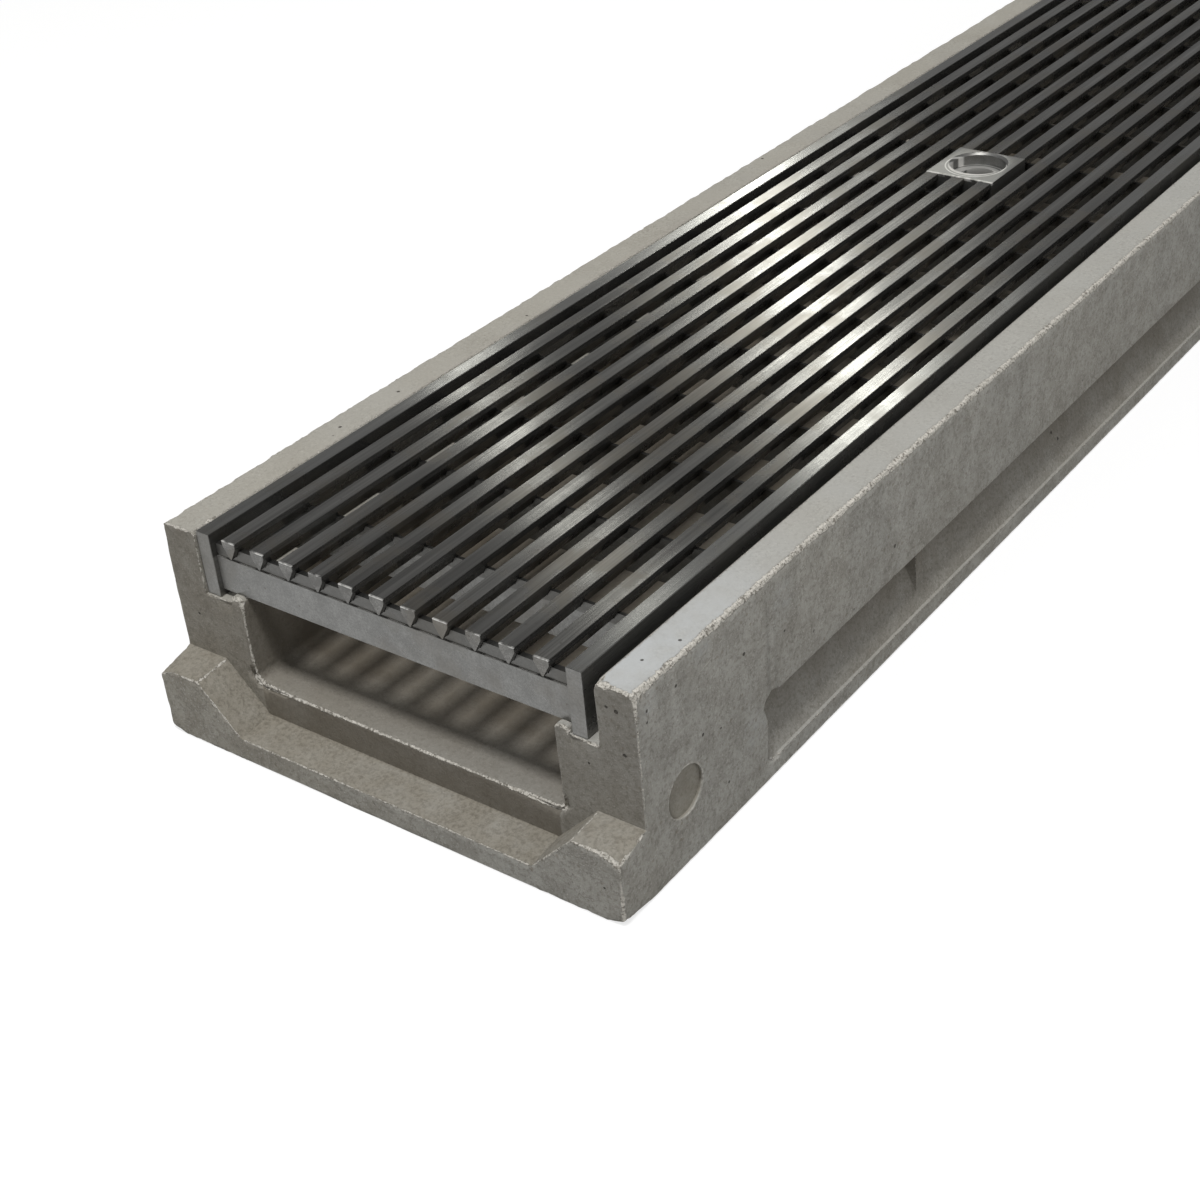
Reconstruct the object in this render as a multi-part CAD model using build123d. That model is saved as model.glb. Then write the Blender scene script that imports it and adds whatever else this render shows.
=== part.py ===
from build123d import *
import os

# Shallow precast trench drain channel with a welded longitudinal wedge bar grate.
# Millimetres. X runs across the channel, Y along it from the tongue end, Z up.
# The model is built with Y = 0 on the tongue end's face and Z = 0 on the underside,
# and is moved along Y at the end so that its origin is under the middle of the whole part.

# Channel body: outer form
body_width = 150.0
body_height = 59.0
body_length = 610.0
outer_arris = 0.5
inner_arris = 0.9

# Channel body: wall tops, rebate for the grate, bearing grooves with their inner lips, and trough
wall_top = 11.5
groove_depth = 18.4
groove_width = 8.7
lip_thickness = 4.3
lip_height = 1.9
lip_rounding = 1.5
trough_floor = 17.0
trough_fillet = 2.5

# Channel body: tongue at one end and the groove that takes it at the other
tongue_length = 11.0
tongue_block_top = 21.0
tongue_block_width = 14.0
tongue_slope_run = 13.0
tongue_middle_top = 7.7
tongue_draft = 0.9
tongue_top_bevel = (4.8, 2.0)
tongue_foot_bevel = (5.0, 1.4)
tongue_fit = 0.8

# Channel body: long pocket and round mould mark on each outer side
pocket_top = 25.0
pocket_bottom = 5.5
pocket_end = 50.8
pocket_depth = 8.0
pocket_foot_depth = 1.0
pocket_corner = 3.0
pocket_rib_place = 132.0
pocket_rib_width = 4.0
pocket_rib_reveal = 2.5
mark_place = 15.7
mark_height = 21.3
mark_radius = 6.9
mark_depth = 2.5

# Grate: its play in the rebate, and the side bars that stand in the bearing grooves
grate_play = 4.0
grate_side_clearance = 0.3
grate_end_gap = 0.7
grate_height = 18.8
side_bar_thickness = 4.5

# Grate: wedge bars
wedge_bar_count = 11
wedge_bar_width = 4.5
wedge_bar_height = 5.2
wedge_bar_straight = 1.6
wedge_bar_tip = 0.5
outer_slot = 4.75

# Grate: notched cross plates, in equal bays before and behind the two wide bays at the bolt plate
plate_thickness = 1.0
plate_drop = 3.4
plate_bottom_drop = 16.75
plate_end_space = 27.4
front_bays = 8
bolt_bay_start = 20.6
bolt_bay_length = 37.4
rear_bays = 6
closing_bay_length = 18.6
weld_gap = 0.1

# Grate: notched end plates, set back behind the bars' ends, their combs a little further
end_plate_inset = 1.4
end_plate_thickness = 2.0
end_plate_drop = 3.2
end_plate_step = 0.4
end_plate_step_drop = 6.7

# Grate: bolt plate, which takes the place of three wedge bars near mid length
bolt_plate_offset = 1.3
bolt_plate_bars = 3
bolt_plate_length = 25.0
bolt_plate_thickness = 8.0
bolt_plate_overhang = 0.3
bolt_hole_offset = 2.2
bolt_hole_radius = 5.5
bolt_seat_radius = 9.4
bolt_seat_depth = 4.0
bolt_seat_chamfer = 0.8

# Levels, widths and places that follow from the sizes above
rebate_width = body_width - 2 * wall_top
trough_width = rebate_width - 2 * (groove_width + lip_thickness)
groove_floor = body_height - groove_depth
lip_top = groove_floor + lip_height
tongue_block_inner = body_width / 2 - tongue_block_width
tongue_middle_half = tongue_block_inner - tongue_slope_run
grate_width = rebate_width - grate_play
grate_top = groove_floor + grate_height
grate_start = grate_end_gap
grate_end = body_length - grate_end_gap
grate_shift = grate_side_clearance - grate_play / 2
plate_half_span = grate_width / 2 - side_bar_thickness
wedge_bar_span = 2 * (plate_half_span - outer_slot) - wedge_bar_width
wedge_bar_pitch = wedge_bar_span / (wedge_bar_count - 1)
grate_middle = (grate_start + grate_end) / 2
bolt_plate_middle = grate_middle + bolt_plate_offset
origin_shift = (tongue_length - body_length) / 2


def prism_along_y(points, y_start, y_end):
    """Closed outline of (x, z) points, carried along Y."""
    outline = make_face(Polyline(*points, close=True))
    return extrude(Plane.XZ.offset(-y_start) * outline, amount=y_start - y_end)


def mirrored(points):
    """Outline of the +X half, given from the middle outwards and back, with its mirror image."""
    return points + [(-x, z) for x, z in reversed(points)]


def channel_section():
    """Cross-section: walls, rebate, bearing grooves behind rounded lips, and trough."""
    half_width = body_width / 2
    half_rebate = rebate_width / 2
    half_trough = trough_width / 2
    lip_back = half_trough + lip_thickness
    outline = mirrored([
        (half_width - outer_arris, 0),
        (half_width, outer_arris),
        (half_width, body_height - outer_arris),
        (half_width - outer_arris, body_height),
        (half_rebate + inner_arris, body_height),
        (half_rebate, body_height - inner_arris),
        (half_rebate, groove_floor),
        (lip_back, groove_floor),
        (lip_back, lip_top),
        (half_trough, lip_top),
        (half_trough, trough_floor),
    ])
    section = make_face(Polyline(*outline, close=True))
    lip_corners = [v for v in section.vertices() if abs(v.Y - lip_top) < 0.01]
    section = fillet(lip_corners, radius=lip_rounding)
    floor_corners = [v for v in section.vertices() if abs(v.Y - trough_floor) < 0.01]
    return fillet(floor_corners, radius=trough_fillet)


def tongue_outline(draft, top_bevel, foot_bevel):
    """Outline of the tongue: a block at each side and a low middle between two slopes."""
    half_width = body_width / 2
    block_top = tongue_block_top - draft
    top_width, top_fall = top_bevel
    foot_width, foot_rise = foot_bevel
    return mirrored([
        (half_width - foot_width, 0),
        (half_width, foot_rise),
        (half_width, block_top - top_fall),
        (half_width - top_width, block_top),
        (tongue_block_inner, block_top),
        (tongue_middle_half, tongue_middle_top - draft),
    ])


def tongue():
    """The tongue narrows a little towards its front, and its outer corners fall away there."""
    sharp = (0.1, 0.1)
    arris = (outer_arris, outer_arris)
    root_outline = tongue_outline(0, sharp, arris)
    front_outline = tongue_outline(tongue_draft, tongue_top_bevel, tongue_foot_bevel)
    root = Plane.XZ * make_face(Polyline(*root_outline, close=True))
    front = Plane.XZ.offset(tongue_length) * make_face(Polyline(*front_outline, close=True))
    return loft([root.face(), front.face()], ruled=True)


def tongue_seat():
    """Space cut from the lower part of the other end, where the next unit's tongue goes."""
    above = tongue_fit
    beyond = body_width / 2 + 1
    outline = mirrored([
        (beyond, -1),
        (beyond, tongue_block_top + above),
        (tongue_block_inner - above, tongue_block_top + above),
        (tongue_middle_half - above, tongue_middle_top + above),
    ])
    return prism_along_y(outline, body_length - tongue_length - tongue_fit, body_length + 1)


def side_pocket():
    """Pocket in the outer side at +X: deep under its top edge and running out towards its foot."""
    outer = body_width / 2
    beyond = outer + 1
    wedge = prism_along_y(
        [
            (beyond, pocket_top),
            (outer - pocket_depth, pocket_top),
            (outer - pocket_foot_depth, pocket_bottom),
            (beyond, pocket_bottom),
        ],
        pocket_end,
        body_length - pocket_end,
    )
    height = pocket_top - pocket_bottom
    mask_outline = RectangleRounded(body_length - 2 * pocket_end, height, pocket_corner)
    mask_centre = (outer - pocket_depth, body_length / 2, (pocket_top + pocket_bottom) / 2)
    mask_plane = Plane(origin=mask_centre, x_dir=(0, 1, 0), z_dir=(1, 0, 0))
    pocket = wedge & extrude(mask_plane * mask_outline, amount=pocket_depth + 1)
    rib_foot = outer - pocket_depth - 1
    rib_face = outer - pocket_rib_reveal
    rib_outline = make_face(Polyline(
        (rib_foot, pocket_rib_place - pocket_rib_width),
        (rib_face, pocket_rib_place - pocket_rib_width / 2),
        (rib_face, pocket_rib_place + pocket_rib_width / 2),
        (rib_foot, pocket_rib_place + pocket_rib_width),
        close=True,
    ))
    rib = extrude(Plane.XY.offset(pocket_bottom) * rib_outline, amount=height)
    return pocket - rib


def round_mark():
    """Shallow round mould mark in the outer side at +X."""
    mark_plane = Plane(
        origin=(body_width / 2 - mark_depth, mark_place, mark_height), x_dir=(0, 1, 0), z_dir=(1, 0, 0)
    )
    return extrude(mark_plane * Circle(mark_radius), amount=mark_depth + 1)


def channel_body():
    body = extrude(Plane.XZ * channel_section(), amount=-body_length)
    body = body + tongue() - tongue_seat()
    for cutter in (side_pocket(), round_mark()):
        body = body - cutter - mirror(cutter, about=Plane.YZ)
    return body


def side_bar(side):
    """Flat bar on edge at one side of the grate; side is -1 for left and +1 for right."""
    centre = grate_shift + side * (grate_width - side_bar_thickness) / 2
    half = side_bar_thickness / 2
    outline = [
        (centre - half, groove_floor),
        (centre + half, groove_floor),
        (centre + half, grate_top),
        (centre - half, grate_top),
    ]
    return prism_along_y(outline, grate_start, grate_end)


def wedge_bar_place(index):
    """X of a wedge bar's middle, counted from 0 at the left."""
    return grate_shift + (index - (wedge_bar_count - 1) / 2) * wedge_bar_pitch


def wedge_bar(index, y_start, y_end):
    """Wedge bar: flat top, short upright sides and a V below."""
    x = wedge_bar_place(index)
    half = wedge_bar_width / 2
    tip = wedge_bar_tip / 2
    shoulder = grate_top - wedge_bar_straight
    bottom = grate_top - wedge_bar_height
    outline = [
        (x - half, grate_top),
        (x - half, shoulder),
        (x - tip, bottom),
        (x + tip, bottom),
        (x + half, shoulder),
        (x + half, grate_top),
    ]
    return prism_along_y(outline, y_start, y_end)


def notch(index, drop):
    """Notch in a plate whose top is drop below the grate's: it follows the V of one wedge bar."""
    x = wedge_bar_place(index)
    rise = (wedge_bar_height - drop) / (wedge_bar_height - wedge_bar_straight)
    half_top = wedge_bar_tip / 2 + rise * (wedge_bar_width - wedge_bar_tip) / 2 + weld_gap
    half_bottom = wedge_bar_tip / 2 + weld_gap
    top = grate_top - drop
    bottom = grate_top - wedge_bar_height - weld_gap
    return [(x - half_top, top), (x - half_bottom, bottom), (x + half_bottom, bottom), (x + half_top, top)]


def notched_plate(drop, y_start, y_end):
    """Upright plate between the side bars, notched for every wedge bar."""
    left = grate_shift - plate_half_span + weld_gap
    right = grate_shift + plate_half_span - weld_gap
    bottom = grate_top - plate_bottom_drop
    top = grate_top - drop
    outline = [(left, bottom), (left, top)]
    for bar in range(wedge_bar_count):
        outline += notch(bar, drop)
    outline += [(right, top), (right, bottom)]
    return prism_along_y(outline, y_start, y_end)


def end_plate():
    """End plate at the front; its comb stands a small step behind the plain face below."""
    face = grate_start + end_plate_inset
    comb_face = face + end_plate_step
    half = plate_half_span - weld_gap
    bottom = grate_top - plate_bottom_drop
    step = grate_top - end_plate_step_drop
    outline = [
        (grate_shift - half, bottom),
        (grate_shift + half, bottom),
        (grate_shift + half, step),
        (grate_shift - half, step),
    ]
    return notched_plate(end_plate_drop, comb_face, face + end_plate_thickness) + prism_along_y(
        outline, face, comb_face
    )


def cross_plate_places():
    """Y of the middle of each cross plate, from the front."""
    first = grate_start + plate_end_space
    last = grate_end - plate_end_space
    before_bolt = bolt_plate_middle - bolt_bay_start
    behind_bolt = before_bolt + 2 * bolt_bay_length
    last_of_run = last - closing_bay_length
    front_run = [first + (before_bolt - first) * bay / front_bays for bay in range(front_bays + 1)]
    rear_run = [
        behind_bolt + (last_of_run - behind_bolt) * bay / rear_bays for bay in range(rear_bays + 1)
    ]
    return front_run + [before_bolt + bolt_bay_length] + rear_run + [last]


def bolt_plate():
    """Square plate flush with the bars, with a seat for a bolt head round its hole."""
    width = (bolt_plate_bars - 1) * wedge_bar_pitch + wedge_bar_width + 2 * bolt_plate_overhang
    top = Location((grate_shift, bolt_plate_middle, grate_top))
    hole_top = top * Pos(0, bolt_hole_offset, 0)
    plate = extrude(top * Rectangle(width, bolt_plate_length), amount=-bolt_plate_thickness)
    hole = extrude(hole_top * Circle(bolt_hole_radius), amount=-bolt_plate_thickness)
    seat = extrude(hole_top * Circle(bolt_seat_radius), amount=-bolt_seat_depth)
    lead_in = hole_top * Pos(0, 0, -bolt_seat_chamfer / 2) * Cone(
        bolt_seat_radius, bolt_seat_radius + bolt_seat_chamfer, bolt_seat_chamfer
    )
    return plate - hole - seat - lead_in


def wedge_bars():
    """All wedge bars by name; those in line with the bolt plate are in two lengths."""
    cut_start = bolt_plate_middle - bolt_plate_length / 2 - weld_gap
    cut_end = bolt_plate_middle + bolt_plate_length / 2 + weld_gap
    first_cut = (wedge_bar_count - bolt_plate_bars) // 2
    bars = {}
    for index in range(wedge_bar_count):
        name = f"wedge_bar_{index + 1:02d}"
        if first_cut <= index < first_cut + bolt_plate_bars:
            bars[name + "_front"] = wedge_bar(index, grate_start, cut_start)
            bars[name + "_rear"] = wedge_bar(index, cut_end, grate_end)
        else:
            bars[name] = wedge_bar(index, grate_start, grate_end)
    return bars


def all_pieces():
    front_end_plate = end_plate()
    pieces = {
        "channel_body": channel_body(),
        "side_bar_left": side_bar(-1),
        "side_bar_right": side_bar(1),
        "bolt_plate": bolt_plate(),
        "end_plate_front": front_end_plate,
        "end_plate_rear": mirror(front_end_plate, about=Plane.XZ.offset(-grate_middle)),
    }
    pieces.update(wedge_bars())
    for index, middle in enumerate(cross_plate_places(), start=1):
        half = plate_thickness / 2
        pieces[f"cross_plate_{index:02d}"] = notched_plate(plate_drop, middle - half, middle + half)
    return pieces


os.makedirs("parts", exist_ok=True)
for piece_name, piece in all_pieces().items():
    export_step(Pos(0, origin_shift, 0) * piece, f"parts/{piece_name}.step")
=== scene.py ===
"""Channel drain: worn polymer concrete channel with a brushed steel wedge bar grate."""

import math
from functools import cached_property

import bmesh
import bpy
from mathutils import Matrix, Vector, kdtree, noise


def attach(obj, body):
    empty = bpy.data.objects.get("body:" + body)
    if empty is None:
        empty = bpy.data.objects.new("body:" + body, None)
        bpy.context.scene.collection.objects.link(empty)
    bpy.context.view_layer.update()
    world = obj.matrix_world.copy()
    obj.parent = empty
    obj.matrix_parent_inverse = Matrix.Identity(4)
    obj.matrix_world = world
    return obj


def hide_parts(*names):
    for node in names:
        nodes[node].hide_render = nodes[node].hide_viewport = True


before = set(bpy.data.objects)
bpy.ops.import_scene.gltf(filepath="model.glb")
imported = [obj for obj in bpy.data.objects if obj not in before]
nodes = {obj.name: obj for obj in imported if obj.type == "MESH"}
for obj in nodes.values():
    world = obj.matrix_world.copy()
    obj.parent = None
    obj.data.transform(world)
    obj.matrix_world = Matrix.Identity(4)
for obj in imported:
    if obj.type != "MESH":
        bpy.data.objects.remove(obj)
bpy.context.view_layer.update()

# Lengths with MM are in metres; others are in mm. Y in mm counts from the tongue end's face.
MM = 0.001
NEAR = -0.2995                  # Y of the tongue end's face
HEIGHT = 59                     # of the casting
LAST_STATION = 609.6            # the far end's face is at 610
MARK_Y, MARK_Z = 15.7, 21.3     # centre of the mould mark
MARK_FLOOR = 74.0               # X of the mark's floor
MARK_RIM = 7.1 * MM
GRATE_MIDDLE = -1.7 * MM        # the grate stands nearer to the left wall
GRATE_TOP = 59.4 * MM
SEAT_RADIUS, RING_RADIUS, HOLE_RADIUS = 9.45 * MM, 10.4 * MM, 6.4 * MM
SHARP = math.radians(28)
EYE = Vector((0.296837, -0.571658, 0.317285))

# Marks on the near faces: pinholes with their radius
PINHOLES = [
    (66.7, 0, 53.0, 0.42), (69.4, 0, 52.6, 0.58), (70.7, 0, 40.9, 0.52), (59.9, 0, 34.5, 0.35),
    (-68.0, 0, 33.0, 0.40), (75, 15.1, 52.1, 0.42), (75, 3.9, 52.4, 0.45), (75, 23.9, 32.4, 0.48),
    (75, 31.2, 29.5, 0.32), (75, 3.6, 49.4, 0.35), (75, 42.3, 44.0, 0.5), (75, 114.3, 34.3, 0.55),
    (75, 33, 12.0, 0.4), (75, 60, 40.0, 0.35), (75, 149.8, 11.9, 0.5), (71.5, 22.5, 59, 0.45),
    (68.5, 11.9, 59, 0.4), (-69, 60, 59, 0.5), (-67, 140, 59, 0.4), (70, -11, 10, 0.35),
]
# Scratches on the right side: one end, the other end (Y and Z)
SCRATCHES = [
    ((22.5, 49.2), (29.5, 51.0)), ((16.8, 45.7), (17.6, 41.0)), ((18.2, 29.3), (20.6, 30.6)),
    ((132, 50.5), (133.2, 47.5)),
]
# Cool, rubbed patches: centre and radius
RUBBED = [(75, 4.5, 53.5, 5.0), (75, 45, 20, 7.0), (75, 60, 50, 6.0), (75, 26, 56, 5.0)]
# Chips in the edges: centre, reach and depth
CHIPS = [
    (75, 2, 59, 5, 0.35), (75, 14, 59, 4, 0.25), (75, 31, 59, 5, 0.3), (75, 52, 59, 4, 0.3),
    (75, 83, 59, 6, 0.25), (75, 118, 59, 6, 0.3), (75, 160, 59, 6, 0.3), (75, 205, 59, 8, 0.3),
    (75, 0, 55, 4, 0.35), (65.2, 0, 59, 3.2, 0.7), (68, 0, 59, 4, 0.35), (58, 0, 40.6, 5, 0.35),
    (54, 0, 42.5, 3, 0.4), (-51, 0, 42, 4, 0.6), (-55, 0, 42, 3, 0.4), (-50, 0, 19, 4, 0.4),
    (-46, 0, 17, 5, 0.6), (-36, 0, 17, 6, 0.3), (28, 0, 17, 9, 0.2), (44, 0, 17, 6, 0.5),
    (50, 0, 17.5, 4, 0.4), (-63.5, 7, 59, 2.2, 0.8), (71, -11, 18.5, 4, 0.7), (74, -9, 18, 3, 0.5),
    (66, -11, 20, 4, 0.4), (75, -11, 8, 3, 0.4), (75, -11, 3, 3, 0.3), (48, -11, 7, 3, 0.3),
    (-62, -11, 20, 3, 0.3), (-74, 3, 59, 3, 0.3),
]


def at(x, y, z):
    """A place in the scene, from one in mm."""
    return Vector((x, y, z)) * MM + Vector((0, NEAR, 0))


def in_mm(p):
    return p.x / MM, (p.y - NEAR) / MM, p.z / MM


# Materials

class Graph:
    """A new material, and short forms for the nodes that the materials share."""

    def __init__(self, name):
        self.material = bpy.data.materials.new(name)
        self.material.use_nodes = True
        self.n, self.l = self.material.node_tree.nodes, self.material.node_tree.links
        self.shader = self.n["Principled BSDF"]

    @cached_property
    def place(self):
        return self.n.new("ShaderNodeTexCoord").outputs["Object"]

    @cached_property
    def up(self):
        """1 where the surface looks straight up, -1 where it looks down."""
        return self.split(self.n.new("ShaderNodeNewGeometry").outputs["Normal"])["Z"]

    def feed(self, socket, value):
        if isinstance(value, bpy.types.NodeSocket):
            self.l.new(value, socket)
        elif isinstance(value, tuple) and socket.type == "RGBA":
            socket.default_value = (*value, 1)
        else:
            socket.default_value = value

    def surface(self, name, value):
        self.feed(self.shader.inputs[name], value)

    def split(self, vector):
        node = self.n.new("ShaderNodeSeparateXYZ")
        self.l.new(vector, node.inputs[0])
        return node.outputs

    def stretched(self, scale):
        node = self.n.new("ShaderNodeMapping")
        self.l.new(self.place, node.inputs["Vector"])
        node.inputs["Scale"].default_value = scale
        return node.outputs[0]

    def noise(self, scale, detail, rough=0.55, vector=None):
        node = self.n.new("ShaderNodeTexNoise")
        self.l.new(vector or self.place, node.inputs["Vector"])
        for name, value in (("Scale", scale), ("Detail", detail), ("Roughness", rough)):
            node.inputs[name].default_value = value
        return node.outputs["Fac"]

    def cells(self, scale):
        """Distance from the nearest of many scattered points."""
        node = self.n.new("ShaderNodeTexVoronoi")
        self.l.new(self.place, node.inputs["Vector"])
        node.inputs["Scale"].default_value = scale
        return node.outputs["Distance"]

    def ramp(self, value, low, high, out_low=0.0, out_high=1.0):
        node = self.n.new("ShaderNodeMapRange")
        node.interpolation_type = "SMOOTHSTEP"
        for socket, number in zip(node.inputs[:5], (value, low, high, out_low, out_high)):
            self.feed(socket, number)
        return node.outputs[0]

    def math(self, kind, a, b=0.0):
        node = self.n.new("ShaderNodeMath")
        node.operation = kind
        self.feed(node.inputs[0], a)
        self.feed(node.inputs[1], b)
        return node.outputs[0]

    def joined(self, kind, values):
        """One operation from the first value to the last."""
        result = values[0]
        for value in values[1:]:
            result = self.math(kind, result, value)
        return result

    def times(self, *values):
        return self.joined("MULTIPLY", values)

    def plus(self, *values):
        return self.joined("ADD", values)

    def minus(self, a, b):
        return self.math("SUBTRACT", a, b)

    def most(self, *values):
        return self.joined("MAXIMUM", values)

    def size(self, value):
        return self.math("ABSOLUTE", value)

    def gap(self, a, b, centre_a, centre_b):
        """Distance from a line along the third axis."""
        da, db = self.minus(a, centre_a), self.minus(b, centre_b)
        return self.math("SQRT", self.plus(self.times(da, da), self.times(db, db)))

    def away(self, centre):
        """Distance from a place in mm."""
        node = self.n.new("ShaderNodeVectorMath")
        node.operation = "DISTANCE"
        self.l.new(self.place, node.inputs[0])
        node.inputs[1].default_value = at(*centre)
        return node.outputs["Value"]

    def mix(self, factor, a, b):
        node = self.n.new("ShaderNodeMix")
        node.data_type = "RGBA"
        for index, value in ((0, factor), (6, a), (7, b)):
            self.feed(node.inputs[index], value)
        return node.outputs[2]

    def attribute(self, name):
        node = self.n.new("ShaderNodeAttribute")
        node.attribute_name = name
        return node.outputs["Fac"]

    def bump(self, height, distance, strength):
        node = self.n.new("ShaderNodeBump")
        node.inputs["Distance"].default_value = distance
        node.inputs["Strength"].default_value = strength
        self.l.new(height, node.inputs["Height"])
        self.surface("Normal", node.outputs[0])


def plain_concrete(g, brown, cloud, grain, fine):
    """Clouds, grain, light sand and sparse brown specks; brown is where it is browner."""
    light = g.mix(brown, (0.392, 0.384, 0.352), (0.368, 0.348, 0.300))
    dark = g.mix(brown, (0.318, 0.308, 0.278), (0.292, 0.270, 0.226))
    colour = g.mix(g.ramp(cloud, 0.36, 0.66), light, dark)
    colour = g.mix(g.ramp(grain, 0.44, 0.68, 0.0, 0.68), colour, (0.180, 0.168, 0.142))
    colour = g.mix(g.ramp(fine, 0.54, 0.72, 0.0, 0.62), colour, (0.58, 0.56, 0.52))
    speck = g.times(g.ramp(g.cells(330), 0.10, 0.20, 1.0, 0.0), g.ramp(g.noise(90, 1), 0.50, 0.60))
    return g.mix(g.times(speck, 0.42), colour, (0.17, 0.135, 0.095))


def film_shade_dust_and_sheen(g, colour, brown, cloud):
    """Brown film with painted shade in the trough, the pockets and on the end face, dust on what looks up,
    and a painted sheen.
    """
    x, y, z = g.split(g.place)
    film_and_shade_amount = g.attribute("film_and_shade_amount")
    # The brown film carries painted shade too: in the trough, under the pockets' overhang and on the end
    # face
    film_and_shade = g.times(film_and_shade_amount, g.ramp(g.noise(45, 5, 0.7), 0.25, 0.7, 0.7, 1.0))
    colour = g.mix(film_and_shade, colour, g.mix(cloud, (0.090, 0.075, 0.055), (0.172, 0.150, 0.117)))

    patches = g.ramp(g.noise(60, 4, 0.7), 0.3, 0.7, 0.25, 0.75)
    dust = g.times(g.ramp(g.up, 0.6, 0.95), patches, g.minus(1.0, film_and_shade_amount))
    colour = g.mix(dust, colour, g.mix(brown, (0.432, 0.428, 0.405), (0.402, 0.384, 0.339)))

    # Painted sheen: the near end of the right wall's top is painted paler and cooler, a painted highlight
    painted_sheen = g.times(
        g.ramp(y, NEAR + 85 * MM, NEAR + 20 * MM),
        g.ramp(g.times(x, g.up), 55 * MM, 62 * MM),
        g.ramp(z, 57 * MM, 58.5 * MM),
        g.ramp(g.noise(70, 4, 0.65), 0.25, 0.65, 0.30, 0.80),
    )
    return g.mix(painted_sheen, colour, (0.50, 0.515, 0.52))


def tongue_mark_shadow_and_rubs(g, colour, grain):
    """The tongue's upper faces darker and browner, brown dirt in the right mould mark with a painted shadow
    along its upper left edge, and cool rubbed patches.
    """
    x, y, z = g.split(g.place)
    # The tongue's upper faces are painted darker and browner
    tongue_darkening = g.times(
        g.ramp(g.up, 0.35, 0.8),
        g.ramp(y, NEAR + 0.4 * MM, NEAR - 0.4 * MM, 0.0, 0.85),
        g.ramp(g.noise(85, 5, 0.7), 0.25, 0.65, 0.55, 1.0),
    )
    tongue_brown = g.mix(g.ramp(grain, 0.4, 0.65), (0.260, 0.236, 0.190), (0.165, 0.146, 0.112))
    colour = g.mix(tongue_darkening, colour, tongue_brown)

    recess = g.times(g.ramp(x, 74.7 * MM, 74.4 * MM), g.ramp(x, 70 * MM, 72 * MM))
    inside = g.gap(y, z, NEAR + MARK_Y * MM, MARK_Z * MM)
    floor = g.times(recess, g.ramp(inside, 7.4 * MM, 7.2 * MM, 0.0, 0.55))
    colour = g.mix(floor, colour, (0.250, 0.225, 0.175))
    # Painted shadow: the mark is painted darkest along its upper left edge, as shade under its rim
    aside = g.gap(y, z, NEAR + (MARK_Y + 1.5) * MM, (MARK_Z - 1.0) * MM)
    crescent_shadow = g.times(
        recess, g.ramp(aside, 6.4 * MM, 8.0 * MM, 0.0, 0.95), g.ramp(inside, 7.4 * MM, 7.2 * MM)
    )
    colour = g.mix(crescent_shadow, colour, (0.075, 0.066, 0.052))

    for *centre, radius in RUBBED:
        rubbed = g.ramp(g.away(centre), 0.3 * radius * MM, radius * MM, 0.42, 0.0)
        rubbed = g.times(rubbed, g.ramp(g.noise(300, 4, 0.7), 0.35, 0.65))
        colour = g.mix(rubbed, colour, (0.46, 0.47, 0.465))
    return colour


def open_pores(g):
    """The pinholes that show, and sparse small ones; their dark colour is painted shade."""
    pores = g.times(g.ramp(g.cells(170), 0.05, 0.10, 1.0, 0.0), g.ramp(g.noise(60, 1), 0.60, 0.66))
    for *centre, radius in PINHOLES:
        hole = g.ramp(g.away(centre), 0.7 * radius * MM, 1.1 * radius * MM, 1.0, 0.0)
        pores = g.most(pores, hole)
    return pores


def thin_lines(g):
    """The burr round the mould mark, and the scratches, on the right side."""
    x, y, z = g.split(g.place)
    rim = g.minus(g.gap(y, z, NEAR + MARK_Y * MM, MARK_Z * MM), MARK_RIM)
    line = g.ramp(g.size(rim), 0.1 * MM, 0.35 * MM, 0.75, 0.0)
    for (y0, z0), (y1, z1) in SCRATCHES:
        length = math.hypot(y1 - y0, z1 - z0)
        cy, cz = (y1 - y0) / length, (z1 - z0) / length
        dy, dz = g.minus(y, NEAR + y0 * MM), g.minus(z, z0 * MM)
        along = g.plus(g.times(dy, cy), g.times(dz, cz))
        across = g.minus(g.times(dy, cz), g.times(dz, cy))
        within = g.times(g.ramp(along, 0.0, 1 * MM), g.ramp(along, length * MM, (length - 1) * MM))
        scratch = g.times(within, g.ramp(g.size(across), 0.1 * MM, 0.3 * MM, 0.8, 0.0))
        line = g.most(line, scratch)
    return g.times(line, g.ramp(x, 74.4 * MM, 74.8 * MM), g.ramp(g.noise(500, 3, 0.7), 0.35, 0.6))


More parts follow.
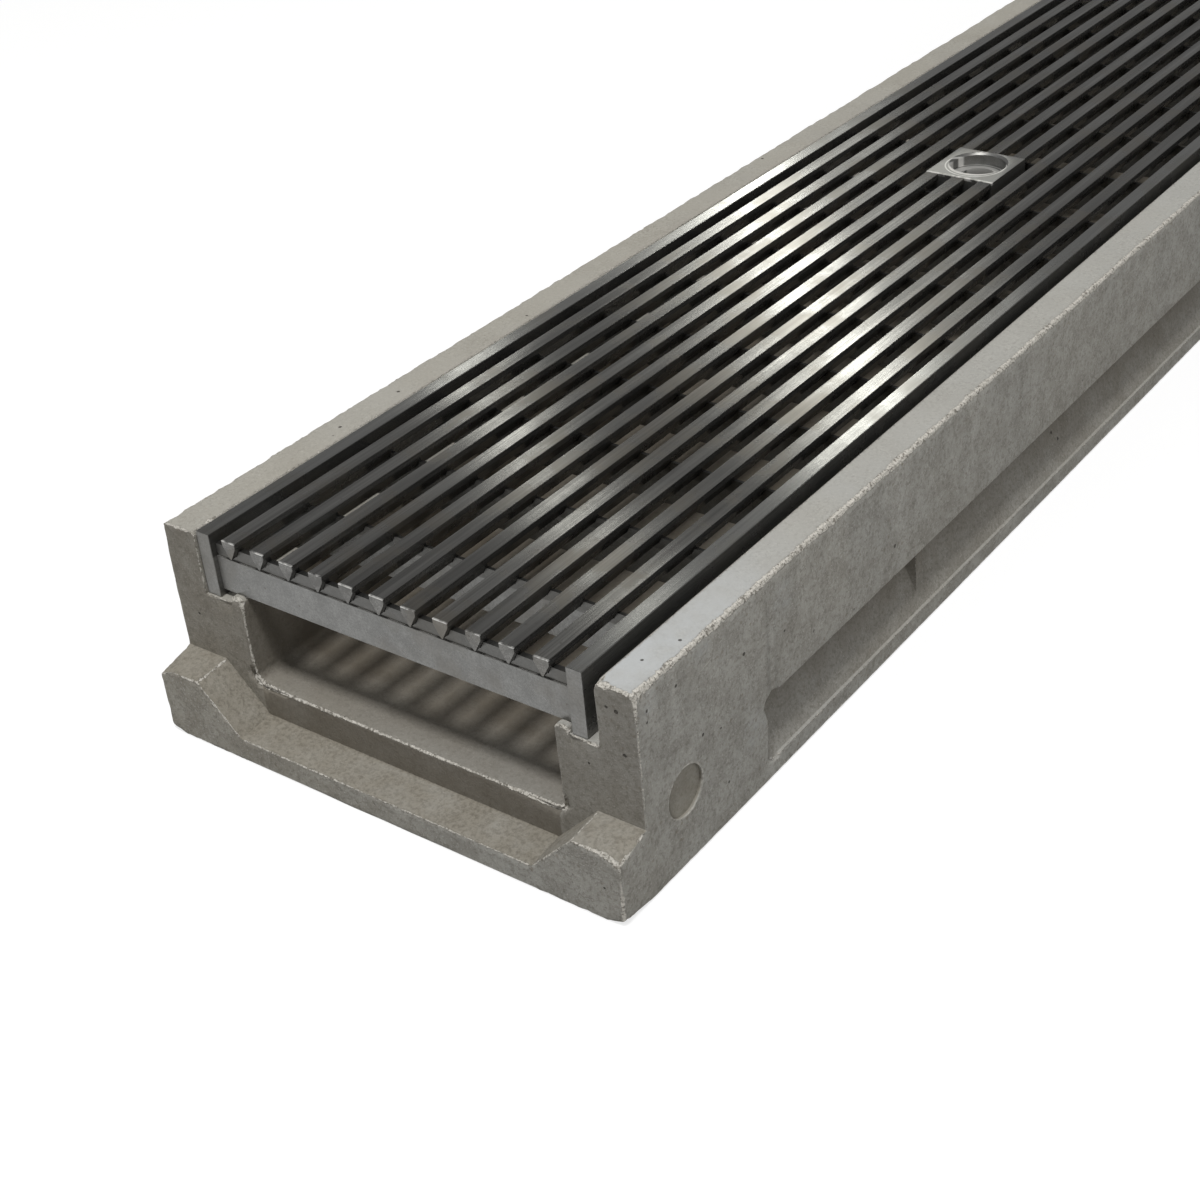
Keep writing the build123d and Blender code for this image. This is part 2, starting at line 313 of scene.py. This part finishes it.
def make_concrete():
    g = Graph("concrete")
    cloud, grain, fine = g.noise(120, 5, 0.68), g.noise(900, 4, 0.75), g.noise(1700, 3, 0.7)
    # The left side is browner than the right one
    side = g.ramp(g.split(g.place)["X"], -70 * MM, 70 * MM, 0.75, 0.0)
    brown = g.plus(side, g.times(g.ramp(g.noise(16, 4, 0.6), 0.35, 0.65), 0.35))
    colour = plain_concrete(g, brown, cloud, grain, fine)
    colour = film_shade_dust_and_sheen(g, colour, brown, cloud)
    colour = tongue_mark_shadow_and_rubs(g, colour, grain)
    pores = open_pores(g)
    # Painted shade: the pinholes are painted near black, as the shade inside them
    colour = g.mix(g.times(pores, 0.85), colour, (0.045, 0.040, 0.032))

    # Worn and broken arrises show the pale aggregate, with small pits painted dark as their shade
    ragged = g.plus(g.times(g.minus(grain, 0.5), 1.5), g.times(g.minus(fine, 0.5), 0.9))
    reach = g.minus(g.plus(g.attribute("edge_band"), ragged), g.attribute("edge_gap"))
    worn = g.times(g.ramp(reach, -0.10, 0.22), g.ramp(g.up, -0.6, -0.4))
    worn = g.most(worn, thin_lines(g))
    stones = g.ramp(g.noise(1500, 3, 0.7), 0.36, 0.56)
    pale = g.mix(stones, (0.37, 0.35, 0.305), (0.65, 0.62, 0.56))
    # Painted shade: the small pits are painted dark
    pits = g.ramp(g.noise(1100, 2, 0.6), 0.55, 0.62, 0.0, 0.85)
    pale = g.mix(pits, pale, (0.16, 0.145, 0.12))
    g.surface("Base Color", g.mix(g.times(worn, 0.92), colour, pale))
    g.surface("Roughness", g.ramp(cloud, 0.3, 0.7, 0.70, 0.90))
    g.surface("Specular IOR Level", 0.3)

    height = g.minus(g.plus(g.times(grain, 0.6), g.times(cloud, 0.7)), g.times(pores, 1.6))
    g.bump(g.plus(height, g.times(worn, g.noise(1300, 3, 0.7))), 0.4 * MM, 0.85)
    return g.material


def plate_shade_and_glint(g, colour, rough):
    """The plates are painted darker above their step, between the wedge bars, as shade; the step itself is
    painted pale as a highlight.
    """
    x, y, z = g.split(g.place)
    aside = g.size(g.plus(x, -GRATE_MIDDLE))
    # Painted shade between the wedge bars, above the plates' step
    comb_shade = g.times(g.ramp(z, 52.4 * MM, 52.8 * MM), g.ramp(aside, 57.2 * MM, 57.0 * MM, 0.0, 0.55))
    colour = g.mix(comb_shade, colour, (0.05, 0.048, 0.043))
    # Painted highlight along the step
    step = g.times(g.ramp(g.up, 0.5, 0.8), g.ramp(z, 54.0 * MM, 53.6 * MM))
    return g.mix(step, colour, (0.45, 0.44, 0.42)), g.plus(rough, g.times(step, 0.45))


def painted_glints(g, colour, rough, source, depth):
    """Painted highlights: the cut ends are painted bright along their top edge, and so are the bolt's seat
    and a thin ring round it.
    """
    x, y, z = g.split(g.place)
    corners = [v.co for v in nodes[source].data.vertices]
    front, top = min(c.y for c in corners), max(c.z for c in corners)
    # Painted highlight along the cut ends' top edge
    glint = g.times(
        g.ramp(y, front + 1.25 * depth * MM, front + 0.75 * depth * MM),
        g.ramp(z, top - depth * MM, top - 0.5 * depth * MM),
        g.ramp(g.noise(420, 2), 0.35, 0.60),
    )
    # The bolt's seat and a ring round it get painted highlights too
    if source == "bolt_plate":
        middle_x = (min(c.x for c in corners) + max(c.x for c in corners)) / 2
        middle_y = (front + max(c.y for c in corners)) / 2
        gap = g.gap(x, y, middle_x, middle_y)
        edge = 0.15 * MM
        seat = g.ramp(gap, SEAT_RADIUS + edge, SEAT_RADIUS - edge, 0.0, 0.75)
        seat = g.times(seat, g.ramp(gap, HOLE_RADIUS - 0.2 * MM, HOLE_RADIUS + 0.2 * MM))
        ring = g.ramp(g.size(g.minus(gap, RING_RADIUS)), edge, 0.35 * MM, 0.8, 0.0)
        glint = g.most(glint, g.most(seat, ring))
    return g.mix(glint, colour, (0.80, 0.79, 0.76)), g.plus(rough, g.times(glint, 0.3))


def make_steel(name, dark, light, roughness, anisotropic, lines):
    """Brushed steel: fine lines along Y, soft patches, and a thin film of dirt."""
    g = Graph(name)
    brush = g.noise(1, 4, 0.7, g.stretched((lines, 16, lines)))
    wide = g.noise(1, 3, 0.6, g.stretched((240, 9, 240)))
    patch = g.noise(55, 4, 0.6)
    strength = 0.6 if name == "bar_steel" else 0.3
    colour = g.mix(g.ramp(brush, 0.32, 0.68), dark, light)
    colour = g.mix(g.ramp(wide, 0.35, 0.65, 0.0, strength), colour, tuple(0.62 * c for c in dark))
    colour = g.mix(g.ramp(patch, 0.46, 0.68, 0.0, strength), colour, (0.17, 0.155, 0.13))
    speck = g.times(g.ramp(g.cells(420), 0.09, 0.16, 1.0, 0.0), g.ramp(g.noise(160, 1), 0.60, 0.66))
    colour = g.mix(g.times(speck, 0.7), colour, (0.10, 0.09, 0.08))
    rough = g.ramp(patch, 0.3, 0.75, roughness - 0.03, roughness + 0.07)
    if name == "frame_steel":
        colour, rough = plate_shade_and_glint(g, colour, rough)
    elif name == "bar_steel":
        colour, rough = painted_glints(g, colour, rough, "wedge_bar_01", 0.4)
    else:
        colour, rough = painted_glints(g, colour, rough, "bolt_plate", 1.1)
    g.surface("Base Color", colour)
    g.surface("Roughness", rough)
    g.surface("Metallic", 0.85)
    g.surface("Anisotropic", anisotropic)
    g.bump(g.plus(g.times(brush, 0.5), g.times(wide, 1.2)), 0.06 * MM, 0.6)
    across = g.n.new("ShaderNodeCombineXYZ")
    across.inputs[0].default_value = 1
    g.surface("Tangent", across.outputs[0])
    return g.material


concrete = make_concrete()
bar_steel = make_steel("bar_steel", (0.125, 0.123, 0.117), (0.235, 0.232, 0.222), 0.25, 1.0, 2600)
frame_steel = make_steel("frame_steel", (0.180, 0.180, 0.174), (0.245, 0.245, 0.237), 0.25, 1.0, 1800)
plate_steel = make_steel("bolt_plate_steel", (0.190, 0.190, 0.184), (0.275, 0.275, 0.267), 0.36, 0.3, 3200)


# Pieces in place of CAD nodes

def set_material(obj, material):
    obj.data.materials.clear()
    obj.data.materials.append(material)


def open_node(name):
    """A node's solid as a bmesh, with its coplanar triangles joined."""
    bm = bmesh.new()
    bm.from_mesh(nodes[name].data)
    bmesh.ops.remove_doubles(bm, verts=bm.verts[:], dist=1e-7)
    bmesh.ops.dissolve_limit(bm, angle_limit=math.radians(0.6), verts=bm.verts[:], edges=bm.edges[:])
    bm.normal_update()
    return bm


def new_piece(bm, name, node_name, material):
    mesh = bpy.data.meshes.new(name)
    bm.to_mesh(mesh)
    bm.free()
    # The normals that came with the CAD mesh don't fit its changed shape
    stored = mesh.attributes.get("custom_normal")
    if stored:
        mesh.attributes.remove(stored)
    piece = bpy.data.objects.new(name, mesh)
    bpy.context.scene.collection.objects.link(piece)
    set_material(piece, material)
    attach(piece, "root")
    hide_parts(node_name)
    return piece


# Concrete body

def rows(edges, steps, low, high):
    """Places in mm beside each edge and at both sides of it, within the range."""
    places = {round(e + side * s, 3) for e in edges for s in steps for side in (-1, 1)}
    return sorted(p for p in places if low < p < high)


def cut(bm, geom, axis, place):
    point, normal = [0.0, 0.0, 0.0], [0.0, 0.0, 0.0]
    point[axis], normal[axis] = place, 1.0
    return bmesh.ops.bisect_plane(bm, geom=geom, dist=1e-7, plane_co=point, plane_no=normal)["geom"]


def whole(faces):
    """Faces with their edges and vertices."""
    faces = list(faces)
    edges = {e for f in faces for e in f.edges}
    verts = {v for f in faces for v in f.verts}
    return list(verts) + list(edges) + faces


def cut_rows(bm, axis, places, wanted):
    """Cuts the faces whose centre and normal are wanted, at places across an axis."""
    geom = whole(f for f in bm.faces if wanted(f.calc_center_median() / MM, f.normal))
    for place in sorted(set(places)):
        geom = cut(bm, geom, axis, place * MM)


def station_step(y):
    """How far the next cut across the casting is: nearer where the edges show more."""
    if y < -8 or -0.5 < y < 2.5:
        return 0.4
    return next((step for limit, step in ((100, 1.0), (250, 1.5), (360, 2.4)) if y < limit), 4.0)


def cut_stations(bm, places, block=12):
    """Cuts across Y but not on the underside: the ends of blocks of stations, then each block by itself."""
    def upper(low, high):
        return [f for f in bm.faces if f.normal.z > -0.9 and low < f.calc_center_median().y < high]

    for place in places[::block]:
        cut(bm, whole(upper(-10, 10)), 1, place)
    limits = [-10.0] + places[::block] + [10.0]
    for low, high in zip(limits, limits[1:]):
        geom = whole(upper(low, high))
        for place in places:
            if low < place < high:
                geom = cut(bm, geom, 1, place)


def cut_body(bm):
    """Gives the casting the vertices that its worn edges need."""
    fine, plain = (0.3, 0.6, 1.0, 1.7, 2.8), (0.4, 1.2)
    cut_rows(bm, 0, rows((-75, -63.5, 63.5, 75), fine, -75, 75), lambda c, n: c.z > 58.5)
    cut_rows(bm, 2, rows((59,), fine, 0, 59), lambda c, n: abs(c.x) > 74.5 and abs(n.x) > 0.9)
    pocket_rows = rows((5.5, 25), plain, 0, 59) + [13, 19]
    cut_rows(bm, 2, pocket_rows, lambda c, n: abs(c.x) > 60 and abs(n.y) < 0.9)
    cut_rows(bm, 2, (58.6, 57.8), lambda c, n: 63 < abs(c.x) < 64)
    stations, y = [], -10.7
    while y < LAST_STATION:
        stations.append(NEAR + y * MM)
        y += station_step(y)
    cut_stations(bm, stations)

    def near_end(c, n):
        return c.y - NEAR / MM < 3.0 and n.z > -0.9

    x_places = rows((-75, -63.5, -50.5, 50.5, 63.5, 75), fine, -75, 75) + list(range(-40, 41, 10))
    x_places += rows((-61, -54.8, -48, 48, 54.8, 61, -70, 70), plain, -75, 75)
    cut_rows(bm, 0, x_places, near_end)
    z_places = rows((17, 59), fine, 0, 59) + [12, 25, 30, 35, 50]
    z_places += rows((0, 7.7, 21, 40.6, 42.5), plain + (2.4,), 0, 59)
    cut_rows(bm, 2, z_places, near_end)


def worn_edges(bm):
    """Sharp outward edges: both ends, inward direction, normals of both faces, and which ends are free."""
    corners = set()
    for e in bm.edges:
        if len(e.link_faces) == 2 and not e.is_convex and e.calc_face_angle() > SHARP:
            corners.update(e.verts)
    found = []
    for e in bm.edges:
        x, y, z = in_mm((e.verts[0].co + e.verts[1].co) / 2)
        at_mark = abs(x) > 70 and math.hypot(y - MARK_Y, z - MARK_Z) < 8.5
        if len(e.link_faces) == 2 and e.is_convex and not at_mark and e.calc_face_angle() > SHARP:
            normals = [f.normal.copy() for f in e.link_faces]
            inward = -(normals[0] + normals[1]).normalized()
            free = [v not in corners for v in e.verts]
            found.append((e.verts[0].co.copy(), e.verts[1].co.copy(), inward, normals, free))
    return found


def edge_finder(edges):
    """A tree of places along the edges, and the edge that each belongs to."""
    tree = kdtree.KDTree(sum(int((e[1] - e[0]).length / MM) + 2 for e in edges))
    owner = []
    for i, (a, b, *_) in enumerate(edges):
        count = int((b - a).length / MM) + 1
        for k in range(count + 1):
            tree.insert(a.lerp(b, k / count), len(owner))
            owner.append(i)
    tree.balance()
    return tree, owner


def wear(p):
    """How deep an edge is worn away at a place."""
    x, y, z = in_mm(p)
    wave = noise.noise(Vector((x, y, z)) * 0.045)
    small = noise.noise(Vector((x, y, z)) * 0.35 + Vector((7, 3, 1)))
    tiny = noise.noise(Vector((x, y, z)) * 1.1 + Vector((1, 8, 5)))
    at_face = -1 < y < 1
    if abs(x) > 74 and z > 58:
        depth = (0.58 if x > 0 else 0.32) + 0.16 * wave + 0.26 * small + 0.24 * tiny
    elif abs(x) < 66 and z > 55:
        depth = 0.10 + 0.05 * wave + 0.04 * small
    elif abs(x) > 60 and 4 < z < 26 and y > 48:
        depth = 0.06 + 0.05 * small if z > 15 else 0.05 + 0.16 * max(wave, 0) + 0.06 * small
    elif at_face and abs(x) < 52 and z > 12:
        depth = 0.36 + 0.26 * wave + 0.28 * small + 0.16 * tiny
    elif at_face and z > 55:
        depth = 0.42 + 0.18 * small + 0.12 * tiny
    elif at_face and abs(x) > 74:
        depth = 0.13 + 0.06 * wave + 0.10 * small + 0.06 * tiny
    elif y < 1:
        depth = 0.24 + 0.10 * wave + 0.18 * small + 0.10 * tiny
    else:
        depth = 0.10 + 0.08 * max(wave, 0) + 0.08 * max(small, 0)
    for *centre, reach, deep in CHIPS:
        gap = (p - at(*centre)).length / MM
        if gap < reach:
            depth += deep * (1 - (gap / reach) ** 2) * (0.8 + 0.5 * tiny)
    return max(depth, 0.04)


def film_and_shade_at(p):
    """How much brown film and painted shade there is: full in the trough, thinner in the pockets and on the
    end face.
    """
    x, y, z = in_mm(p)
    x = abs(x)
    # Brown film in the trough, painted darker further in as shade under the grate
    if x < 50.6 and 8 < z < 42.6 and 0.2 < y < LAST_STATION:
        return min(1.0, 0.58 + y / 45)
    # Painted shade under the pockets' overhang, darker towards the top, over a thinner brown film
    if 60 < x < 74.7 and 5 < z < 25.2 and 51 < y < 559:
        return 0.30 + 0.68 * max(0.0, (z - 11) / 14)
    # The end face: brown film with painted shade, darkest between the tongue and the trough floor
    if -0.5 < y < 0.2 and x < 74.5:
        return 0.85 if x < 49 and z < 17.1 else 0.42
    return 0.0


def wear_down(bm, edges):
    """
    Moves the vertices beside each edge in to where it is worn, and stores what the material needs:
    their distance from the edge, how wide the pale band is there, and the brown film with painted shade.
    """
    tree, owner = edge_finder(edges)
    reach, unworn, fade_length = 4.0, 604, 1.2
    gap_layer = bm.verts.layers.float.new("edge_gap")
    band_layer = bm.verts.layers.float.new("edge_band")
    film_and_shade_layer = bm.verts.layers.float.new("film_and_shade_amount")
    for v in bm.verts:
        start = v.co.copy()
        v[film_and_shade_layer] = film_and_shade_at(start)
        v[gap_layer], v[band_layer] = reach, 0.0
        if start.y - NEAR > unworn * MM:
            v[band_layer] = -3.0
            continue
        for i in {owner[index] for _, index, _ in tree.find_range(start, reach * MM)}:
            a, b, inward, normals, free = edges[i]
            length = (b - a).length
            along = (b - a) / length
            t = (start - a).dot(along)
            if (t < -1e-6 and not free[0]) or (t > length + 1e-6 and not free[1]):
                continue
            if min(abs((start - a).dot(n)) for n in normals) > 0.03 * MM:
                continue
            foot = a + along * min(max(t, 0), length)
            gap = (start - foot).length / MM
            fade = 1.0
            if not free[0]:
                fade = min(fade, t / (fade_length * MM))
            if not free[1]:
                fade = min(fade, (length - t) / (fade_length * MM))
            depth = wear(foot) * max(fade, 0.0)
            if gap < v[gap_layer]:
                v[gap_layer], v[band_layer] = gap, 1.41 * depth if fade > 0.5 else 0.0
            depth *= 1 + 0.25 * noise.noise(start / MM * 1.3)
            short = depth * MM - (v.co - foot).dot(inward)
            if gap < 3 and short > 0:
                v.co += inward * short


def worn_body():
    bm = open_node("channel_body")
    edges = worn_edges(bm)
    # The mould mark is shallow
    for v in bm.verts:
        x, y, z = in_mm(v.co)
        if 72 < abs(x) < 73 and math.hypot(y - MARK_Y, z - MARK_Z) < 8:
            v.co.x = math.copysign(MARK_FLOOR * MM, x)
    cut_body(bm)
    wear_down(bm, edges)
    # The wall tops are not quite flat
    for v in bm.verts:
        p = v.co / MM
        if p.z > HEIGHT - 0.5:
            v.co.z -= 0.10 * MM * max(0.0, noise.noise(p * 0.05))
    body = new_piece(bm, "channel_body_worn", "channel_body", concrete)
    body.data.shade_smooth()
    body.data.set_sharp_from_angle(angle=math.radians(32))


# Grate

def eased_copy(name, width, material):
    """A node's solid with its sharp edges eased, in place of the node."""
    bm = open_node(name)
    sharp = [e for e in bm.edges if len(e.link_faces) == 2 and e.calc_face_angle() > SHARP]
    bmesh.ops.bevel(
        bm, geom=sharp, offset=width * MM, segments=2, profile=0.6, affect="EDGES", clamp_overlap=True
    )
    # The flat faces stay flat in shading: their borders are sharp
    for f in bm.faces:
        f.smooth = True
    large_face, border, crease = 5e-6, math.radians(4), math.radians(40)
    for e in bm.edges:
        angle = e.calc_face_angle(0)
        beside_large = max((f.calc_area() for f in e.link_faces), default=0) > large_face
        e.smooth = not (beside_large and angle > border) and angle < crease
    new_piece(bm, name + "_eased", name, material)


worn_body()
for node_name in sorted(nodes):
    if node_name == "channel_body":
        set_material(nodes[node_name], concrete)
    elif node_name.startswith("wedge_bar"):
        set_material(nodes[node_name], bar_steel)
        eased_copy(node_name, 0.16, bar_steel)
    elif node_name == "bolt_plate":
        set_material(nodes[node_name], plate_steel)
        eased_copy(node_name, 0.2, plate_steel)
    else:
        set_material(nodes[node_name], frame_steel)
        if node_name.startswith("side_bar"):
            eased_copy(node_name, 0.25, frame_steel)


# Stage

def make_world():
    world = bpy.data.worlds.new("studio")
    bpy.context.scene.world = world
    world.use_nodes = True
    background = world.node_tree.nodes["Background"]
    background.inputs["Color"].default_value = (1, 1, 1, 1)
    background.inputs["Strength"].default_value = 0.30


def make_floor():
    """A pale floor that the camera, mirrors and glass see as white, but for the shadow on it."""
    mesh = bpy.data.meshes.new("floor")
    half = 6.0
    corners = [(-half, -half, 0), (half, -half, 0), (half, half, 0), (-half, half, 0)]
    mesh.from_pydata(corners, [], [(0, 1, 2, 3)])
    floor = bpy.data.objects.new("floor", mesh)
    bpy.context.scene.collection.objects.link(floor)
    g = Graph("floor")
    light_path = g.n.new("ShaderNodeLightPath")
    kinds = ("Is Camera Ray", "Is Glossy Ray", "Is Transmission Ray")
    seen = g.most(*(light_path.outputs[kind] for kind in kinds))
    g.surface("Base Color", (0.34, 0.34, 0.34))
    g.surface("Roughness", 0.9)
    g.surface("Specular IOR Level", 0)
    g.surface("Emission Color", (1.0, 1.0, 1.0))
    g.surface("Emission Strength", g.times(seen, 0.72))
    floor.data.materials.append(g.material)


def area_light(name, place, target, across, size_x, size_y, power, colour=(1.0, 1.0, 1.0)):
    """A lamp at a place that faces a target, with its first side along across."""
    z = (place - target).normalized()
    x = (across - z * z.dot(across)).normalized()
    y = z.cross(x)
    data = bpy.data.lights.new(name, "AREA")
    data.shape = "RECTANGLE"
    data.color = colour
    data.size, data.size_y, data.energy = size_x, size_y, power
    light = bpy.data.objects.new(name, data)
    bpy.context.scene.collection.objects.link(light)
    light.matrix_world = Matrix((
        (x.x, y.x, z.x, place.x), (x.y, y.y, z.y, place.y), (x.z, y.z, z.z, place.z), (0, 0, 0, 1)
    ))


def soft_light(name, direction, distance, size_x, size_y, power):
    target = Vector((0, -0.03, 0.059))
    place = target + Vector(direction).normalized() * distance
    area_light(name, place, target, Vector((1, 0, 0)), size_x, size_y, power)


def strip_light(name, left, right, length, width, power, shift=0.0):
    """
    A strip that metal brushed along Y mirrors into a narrow band across the bars.
    left and right say where the band lies on the outer bars: their X, and the band's Y, in mm.
    """
    distance = 2.4
    ends = []
    for x, y in (left, right):
        spot = Vector((x * MM, NEAR + y * MM, GRATE_TOP))
        view = (EYE - spot).normalized()
        ends.append(spot + Vector((-view.x, -view.y, view.z)) * distance)
    along = (ends[1] - ends[0]).normalized()
    target = Vector((0, NEAR + (left[1] + right[1]) / 2 * MM, GRATE_TOP))
    place = (ends[0] + ends[1]) / 2 + along * shift
    area_light(name, place, target, along, length, width, power, (1.0, 1.0, 0.93))


def make_camera():
    data = bpy.data.cameras.new("camera")
    data.sensor_width, data.lens = 36, 59.650
    data.shift_x, data.shift_y = -0.08965, -0.08832
    data.clip_start, data.clip_end = 0.01, 50
    camera = bpy.data.objects.new("camera", data)
    bpy.context.scene.collection.objects.link(camera)
    azimuth, elevation, roll = (math.radians(a) for a in (36.1045, 30.7196, -3.8026))
    level = Vector((math.cos(azimuth), math.sin(azimuth), 0))
    forward = Vector((
        -math.sin(azimuth) * math.cos(elevation),
        math.cos(azimuth) * math.cos(elevation),
        -math.sin(elevation),
    ))
    above = level.cross(forward)
    right = level * math.cos(roll) + above * math.sin(roll)
    up = above * math.cos(roll) - level * math.sin(roll)
    camera.matrix_world = Matrix((
        (right.x, up.x, -forward.x, EYE.x),
        (right.y, up.y, -forward.y, EYE.y),
        (right.z, up.z, -forward.z, EYE.z),
        (0, 0, 0, 1),
    ))
    bpy.context.scene.camera = camera


make_world()
make_floor()
soft_light("key", (0.148, -0.35, 0.925), 2.0, 0.25, 0.28, 23)
soft_light("right", (0.90, -0.10, 0.42), 2.2, 0.8, 0.8, 6.1)
soft_light("front", (-0.32, -0.79, 0.53), 1.9, 0.5, 0.4, 3.0)
strip_light("band", (-51.7, 248), (48.3, 138), 1.0, 0.10, 5.3)
strip_light("band_near", (-51.7, 101), (48.3, 34), 0.7, 0.09, 1.3, -0.25)
strip_light("band_far", (-51.7, 309), (48.3, 208), 1.0, 0.10, 0.55)
make_camera()

bpy.context.scene.view_settings.view_transform = "Standard"
